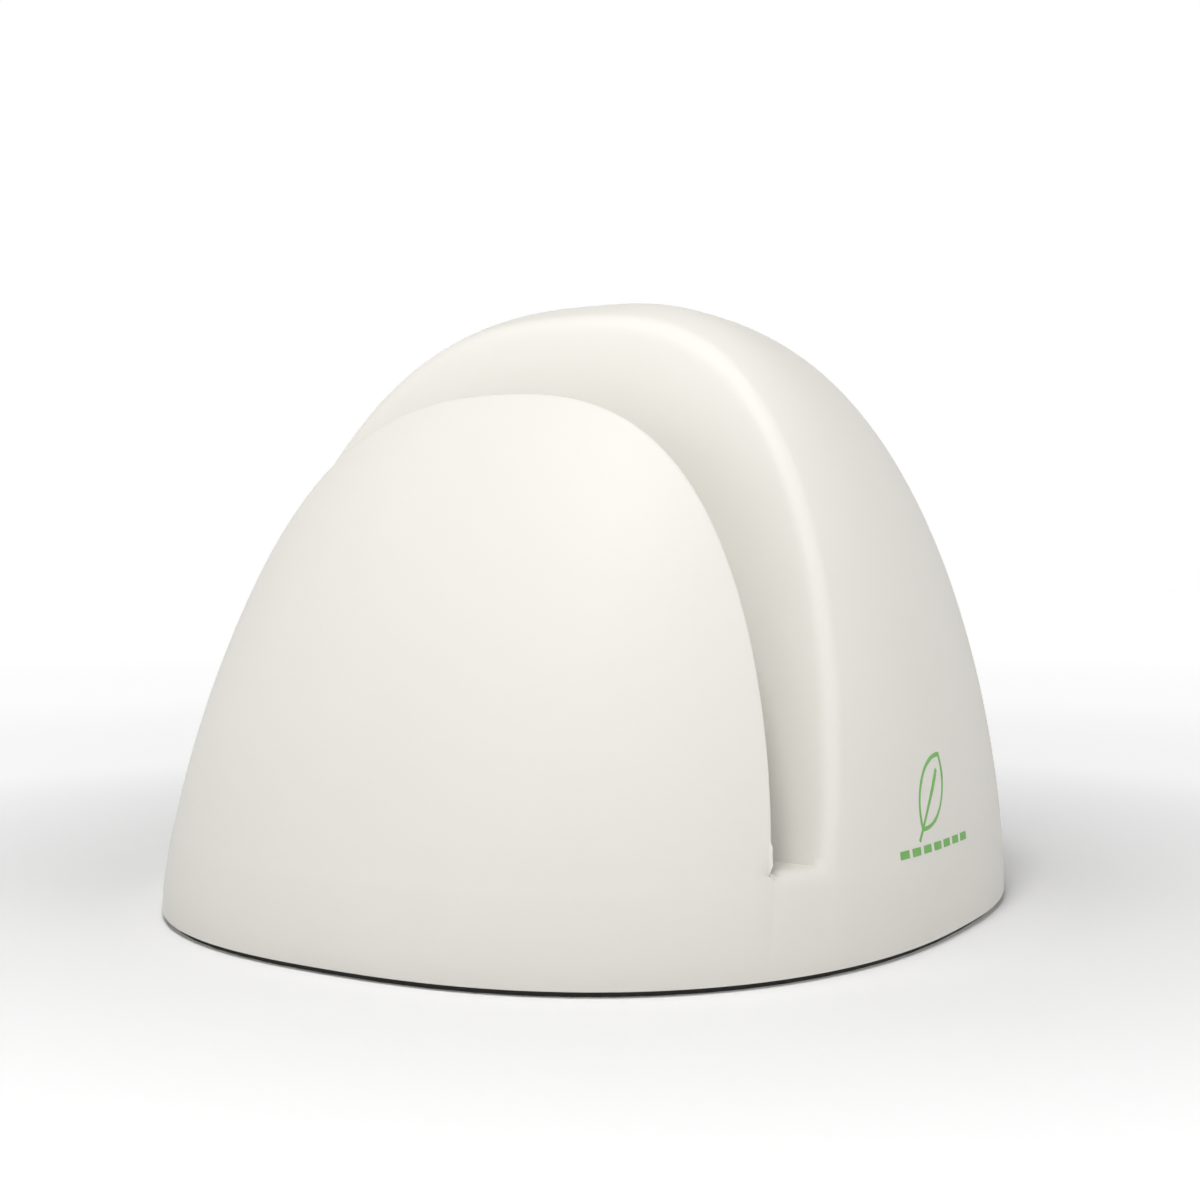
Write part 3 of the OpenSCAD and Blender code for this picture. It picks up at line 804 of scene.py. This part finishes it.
def galvanised_finish(colours):
    """Hot-dip zinc with its spangle, dull patches and runs."""
    f = Finish("galvanised_steel", metallic=1.0)
    base = tuple(colours.steel)
    spangle = f.cells(130.0, output="Color")
    shade = f.node("ShaderNodeSeparateColor", None, {"Color": spangle}).out(0)
    cloud = f.noise(11.0, 4.0, 0.6)
    tone = f.mix(shade, scaled(base, 0.78), scaled(base, 1.18))
    tone = f.mix((cloud - 0.42).clamp() * 1.6, tone, (0.46, 0.47, 0.47))
    f.feed("Base Color", tone)
    f.feed("Roughness", 0.30 + shade * 0.14 + cloud * 0.16)
    f.bump(f.noise(60.0, 3.0) * 0.6 + shade * 0.4, 0.0003, 0.5)
    return f.material


def zinc_finish(colours):
    """Bright zinc plate with fine turning marks and a few dull spots."""
    f = Finish("zinc_plate", metallic=1.0)
    base = tuple(colours.zinc)
    marks = f.noise(900.0, 2.0, 0.6, stretch=(0.15, 1.0, 1.0))
    spots = f.noise(55.0, 5.0, 0.6)
    f.feed("Base Color", f.mix(spots, scaled(base, 0.86), scaled(base, 1.08)))
    f.feed("Roughness", 0.24 + marks * 0.10 + spots * 0.14)
    f.bump(marks, 0.00008, 0.5)
    return f.material


def pail_finish(name, base):
    """Glossy moulded bucket plastic, scuffed and with swirls in its colour."""
    f = Finish(name, specular_ior_level=0.5)
    swirl = f.noise(9.0, 4.0, 0.55, stretch=(1.0, 1.0, 0.35))
    scuff = f.noise(70.0, 6.0, 0.7, stretch=(1.0, 1.0, 0.25))
    worn = (scuff - 0.56).clamp() * 2.4
    tone = f.mix(swirl, scaled(base, 0.86), scaled(base, 1.15))
    tone = f.mix(worn.clamp() * 0.35, tone, tuple(0.5 * c + 0.16 for c in base))
    f.feed("Base Color", tone)
    f.feed("Roughness", 0.30 + worn.clamp() * 0.30 + swirl * 0.06)
    f.bump(f.noise(380.0, 2.0), 0.00010, 0.5)
    return f.material


def vent_finish(name, base):
    """Matte injection-moulded plastic with a fine grain."""
    f = Finish(name, specular_ior_level=0.45)
    grain = f.noise(650.0, 3.0, 0.6)
    haze = f.noise(16.0, 3.0, 0.5)
    f.feed("Base Color", f.mix(haze, scaled(base, 0.88), scaled(base, 1.14)))
    f.feed("Roughness", 0.46 + grain * 0.14 + haze * 0.05)
    f.bump(grain, 0.00012, 0.6)
    return f.material


def mark_finish(colours):
    """Green mark moulded on the flank, a little chalky."""
    f = Finish("mark_green", specular_ior_level=0.4)
    base = tuple(colours.mark)
    chalk = f.noise(48.0, 4.0, 0.6)
    f.feed("Base Color", f.mix(chalk, scaled(base, 0.9), scaled(base, 1.12)))
    f.feed("Roughness", 0.46 + chalk * 0.12)
    f.bump(f.noise(500.0, 2.0), 0.00008, 0.5)
    return f.material


def dress(node, material, bevel=0.0):
    """Gives a frame node its finish and, where it has plain edges, a small round on them."""
    piece = frame["nodes"][node]
    piece.data.materials.clear()
    piece.data.materials.append(material)
    if bevel:
        modifier = piece.modifiers.new("edge_round", "BEVEL")
        modifier.width = bevel
        modifier.segments = 2
        modifier.limit_method = "ANGLE"
        modifier.angle_limit = math.radians(BEVEL_SHARP)
        modifier.harden_normals = True


# Operators


class HutchOperator:
    """What every operator of the hutch shares."""

    bl_options = {"REGISTER", "UNDO"}


class HUTCH_OT_shell(HutchOperator, bpy.types.Operator):
    """Builds the moulded shell with its groove, porch and vent seat"""

    bl_idname = "hutch.shell"
    bl_label = "Shell"

    def execute(self, context):
        sizes = context.scene.hutch_sizes
        mesh = ShellMoulding(sizes).build()
        finish = moulded_finish(context.scene.hutch_colours)
        piece = place("shell_moulding", mesh, finish, "hutch", ["shell"])
        thick = piece.modifiers.new("wall", "SOLIDIFY")
        thick.thickness = sizes.wall
        thick.offset = -1
        tools = [("UNION", self.vent_seat()), ("DIFFERENCE", self.vent_bore()), ("UNION", self.sill(sizes))]
        for operation, tool in tools:
            joint = piece.modifiers.new(operation.lower(), "BOOLEAN")
            joint.operation = operation
            joint.solver = "EXACT"
            joint.object = tool
        bake_modifiers(piece, SHELL_SHARP)
        for _, tool in tools:
            bpy.data.objects.remove(tool)
        return {"FINISHED"}

    def tool(self, name, mesh, matrix=None):
        """A shape that is joined to the shell or cut out of it."""
        tool = bpy.data.objects.new(name, mesh)
        bpy.context.scene.collection.objects.link(tool)
        if matrix:
            mesh.transform(matrix)
        return tool

    def vent_seat(self):
        """Raised round seat on the roof, with a round edge and a flared foot."""
        edge = VENT_RADIUS - 0.004
        profile = [(0.0, -0.05), (VENT_RADIUS + 0.016, -0.05), (VENT_RADIUS + 0.012, -0.026)]
        profile += [(VENT_RADIUS + 0.004, -0.017), (VENT_RADIUS, -0.010), (VENT_RADIUS, -0.004)]
        profile += [(edge + 0.0028, -0.0012), (edge, 0.0), (0.0, 0.0)]
        return self.tool("vent_seat", lathe("vent_seat", profile, 96), vent_frame())

    def vent_bore(self):
        """The round hole under the vent plate."""
        bore = VENT_RADIUS - 0.034
        profile = [(0.0, -0.12), (bore, -0.12), (bore, 0.02), (0.0, 0.02)]
        return self.tool("vent_bore", lathe("vent_bore", profile, 96), vent_frame())

    def sill(self, sizes):
        """The flat floor of the porch."""
        low = Vector((-sizes.door_half - 0.003, FRAME_LOW.y - 0.088, sizes.edge_z))
        high = Vector((sizes.door_half + 0.003, FRAME_LOW.y - 0.0005, sizes.edge_z + sizes.foot_thickness))
        return self.tool("sill", block("sill", low, high))


class HUTCH_OT_fittings(HutchOperator, bpy.types.Operator):
    """Finishes the steel, rubber and plastic pieces of the frame"""

    bl_idname = "hutch.fittings"
    bl_label = "Fittings"

    def execute(self, context):
        colours = context.scene.hutch_colours
        rubber = rubber_finish(colours)
        steel = galvanised_finish(colours)
        zinc = zinc_finish(colours)
        dress("base_ring", rubber, 0.0015)
        for node in ("door_frame", "hinge_brackets", "latch_keeper", "gate_knuckles", "latch_guides"):
            dress(node, steel, 0.0006)
        for node in ("gate_frame", "bucket_rings"):
            dress(node, steel)
        fixings = ["base_bolts", "base_washers", "base_nuts", "frame_bolts", "frame_washers", "frame_nuts"]
        for node in fixings + ["hinge_pins", "latch_bolt", "vent_screws", "vent_pivot", "vent_nut"]:
            dress(node, zinc)
        for node in ("water_bail", "feed_bail"):
            dress(node, zinc)
        dress("water_bucket", pail_finish("pail_blue", tuple(colours.water)), 0.0008)
        dress("feed_bucket", pail_finish("pail_grey", tuple(colours.feed)), 0.0008)
        dress("vent_plate", vent_finish("vent_grey", tuple(colours.vent)), 0.0006)
        dress("vent_disc", vent_finish("vent_blue", tuple(colours.shutter)), 0.0005)
        dress("side_mark", mark_finish(colours))
        return {"FINISHED"}


class HUTCH_OT_welds(HutchOperator, bpy.types.Operator):
    """Lays a weld bead round each end of the gate's upright bars"""

    bl_idname = "hutch.welds"
    bl_label = "Gate welds"

    def execute(self, context):
        sizes = context.scene.hutch_sizes
        tube = (GATE_HIGH.y - GATE_LOW.y) / 2
        side = GATE_HIGH.x - tube
        middle = (GATE_HIGH.y + GATE_LOW.y) / 2
        turn = np.linspace(0, 2 * math.pi, 40, endpoint=False)
        skin = Skin()
        for number in range(1, sizes.bars + 1):
            x = -side + 2 * side * number / (sizes.bars + 1)
            for rail, up in ((GATE_LOW.z + tube, 1), (GATE_HIGH.z - tube, -1)):
                reach = sizes.bar_radius + sizes.bead * 0.4
                y = reach * np.sin(turn)
                z = rail + up * np.sqrt((tube + sizes.bead * 0.2) ** 2 - y**2)
                path = np.stack([x + reach * np.cos(turn), middle + y, z], axis=-1)
                ripple = 1 + 0.14 * np.sin(9 * turn + number + up)
                skin.grid(ring_rows(path, sizes.bead * ripple), wrap=True)
        finish = galvanised_finish(context.scene.hutch_colours)
        mesh = skin.mesh("gate_welds", sharp=BEAD_SHARP)
        place("gate_welds", mesh, finish, "gate")
        return {"FINISHED"}


class HUTCH_OT_ribs(HutchOperator, bpy.types.Operator):
    """Moulds two stiffening ribs round each bucket, under the ring that holds it"""

    bl_idname = "hutch.ribs"
    bl_label = "Bucket ribs"

    def execute(self, context):
        colours = context.scene.hutch_colours
        self.ribs(context, "water", pail_finish("pail_blue_rib", tuple(colours.water)))
        self.ribs(context, "feed", pail_finish("pail_grey_rib", tuple(colours.feed)))
        return {"FINISHED"}

    def ribs(self, context, name, finish):
        low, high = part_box(name + "_bucket")
        sizes = context.scene.hutch_sizes
        turn = np.linspace(0, 2 * math.pi, 96, endpoint=False)
        x, y = (low.x + high.x) / 2, (low.y + high.y) / 2
        foot = [v.co for v in frame["nodes"][name + "_bucket"].data.vertices if v.co.z < low.z + 0.001]
        foot_radius = max(math.hypot(v.x - x, v.y - y) for v in foot)
        skin = Skin()
        for rise in sizes.rib_rises:
            radius = foot_radius + rise * sizes.bucket_taper
            z = np.full_like(turn, low.z + rise)
            path = np.stack([x + radius * np.cos(turn), y + radius * np.sin(turn), z], axis=-1)
            skin.grid(ring_rows(path, np.full_like(turn, sizes.rib), 10), wrap=True)
        mesh = skin.mesh(name + "_ribs", sharp=BEAD_SHARP)
        place(name + "_ribs", mesh, finish, name)


class HUTCH_OT_stage(HutchOperator, bpy.types.Operator):
    """Sets up the floor, the lights and the camera"""

    bl_idname = "hutch.stage"
    bl_label = "Studio"

    def execute(self, context):
        view = context.scene.hutch_view
        self.floor()
        self.surround(context.scene, view)
        self.lights(view)
        self.camera(context.scene, view)
        return {"FINISHED"}

    def floor(self):
        """A pale floor that glows from a metre out, so that it runs into the white surround."""
        half = 30.0
        corners = [(-half, -half, 0.0), (half, -half, 0.0), (half, half, 0.0), (-half, half, 0.0)]
        mesh = Skin().face(corners).mesh("studio_floor")
        finish = Finish("studio_floor", emission_strength=1.0)
        haze = finish.noise(0.4, 2.0)
        finish.feed("Base Color", finish.mix(haze, (0.92, 0.92, 0.92), (0.94, 0.94, 0.94)))
        finish.feed("Roughness", 0.85 + haze * 0.1)
        measure = finish.node("ShaderNodeVectorMath", {"operation": "LENGTH"}, {0: finish.coordinates})
        away = measure.out("Value")
        glow_reach = 10.0
        glow = [(0.10, 0.0), (0.15, 0.15), (0.25, 0.42), (0.50, 0.64), (1.0, 0.80)]
        finish.feed("Emission Color", finish.ramp(away / glow_reach, *glow))
        floor = bpy.data.objects.new("studio_floor", mesh)
        floor.data.materials.append(finish.material)
        bpy.context.scene.collection.objects.link(floor)

    def surround(self, scene, view):
        world = bpy.data.worlds.new("studio")
        world.use_nodes = True
        sky = Shading(world.node_tree, "Background", "Generated")
        sky.feed("Color", sky.ramp(sky.axis("Z"), (0.36, 1.0), (0.52, 0.0)))
        sky.shader.inputs["Strength"].default_value = view.surround
        scene.world = world
        scene.view_settings.view_transform = "Standard"

    def lights(self, view):
        self.lamp("key", (0.8, -2.2, 5.2), view.key, 2.0)
        self.lamp("left", (-1.0, -1.8, 5.2), view.left, 2.0)
        self.lamp("right", (4.4, -0.6, 3.0), view.right, 2.6)
        self.lamp("front", (-2.6, -4.2, 4.6), view.front, 2.6)

    def lamp(self, name, spot, power, size):
        data = bpy.data.lights.new(name, "AREA")
        data.energy = power
        data.shape = "DISK"
        data.size = size
        lamp = bpy.data.objects.new(name, data)
        lamp.location = spot
        aim = LAMP_AIM - Vector(spot)
        lamp.rotation_euler = aim.to_track_quat("-Z", "Y").to_euler()
        bpy.context.scene.collection.objects.link(lamp)

    def camera(self, scene, view):
        data = bpy.data.cameras.new("camera")
        data.lens = view.lens
        data.sensor_width = 36.0
        camera = bpy.data.objects.new("camera", data)
        away_x = view.distance * math.sin(view.turn)
        away_y = -view.distance * math.cos(view.turn)
        eye = Vector((away_x, away_y, view.eye_height))
        camera.location = eye
        aim = Vector((0, 0, view.aim_height)) - eye
        camera.rotation_euler = aim.to_track_quat("-Z", "Y").to_euler()
        scene.collection.objects.link(camera)
        scene.camera = camera


class HUTCH_PT_build(bpy.types.Panel):
    """Lists the hutch's build steps and sizes"""

    bl_idname = "HUTCH_PT_build"
    bl_label = "Calf Hutch"
    bl_space_type = "VIEW_3D"
    bl_region_type = "UI"
    bl_category = "Hutch"

    def draw(self, context):
        for operator in OPERATORS:
            self.layout.operator(operator.bl_idname)
        for group in (context.scene.hutch_sizes, context.scene.hutch_colours, context.scene.hutch_view):
            box = self.layout.box()
            for key in group.bl_rna.properties.keys():
                if key not in {"rna_type", "name"}:
                    box.prop(group, key)


OPERATORS = (HUTCH_OT_shell, HUTCH_OT_fittings, HUTCH_OT_welds, HUTCH_OT_ribs, HUTCH_OT_stage)
GROUPS = (HutchSizes, HutchColours, HutchView)


def register():
    for kind in (*GROUPS, *OPERATORS, HUTCH_PT_build):
        bpy.utils.register_class(kind)
    bpy.types.Scene.hutch_sizes = PointerProperty(type=HutchSizes)
    bpy.types.Scene.hutch_colours = PointerProperty(type=HutchColours)
    bpy.types.Scene.hutch_view = PointerProperty(type=HutchView)


def unregister():
    del bpy.types.Scene.hutch_view
    del bpy.types.Scene.hutch_colours
    del bpy.types.Scene.hutch_sizes
    for kind in (HUTCH_PT_build, *reversed(OPERATORS), *reversed(GROUPS)):
        bpy.utils.unregister_class(kind)


def main():
    register()
    bpy.ops.hutch.stage()
    bpy.ops.hutch.shell()
    bpy.ops.hutch.fittings()
    bpy.ops.hutch.welds()
    bpy.ops.hutch.ribs()


if __name__ == "__main__":
    main()
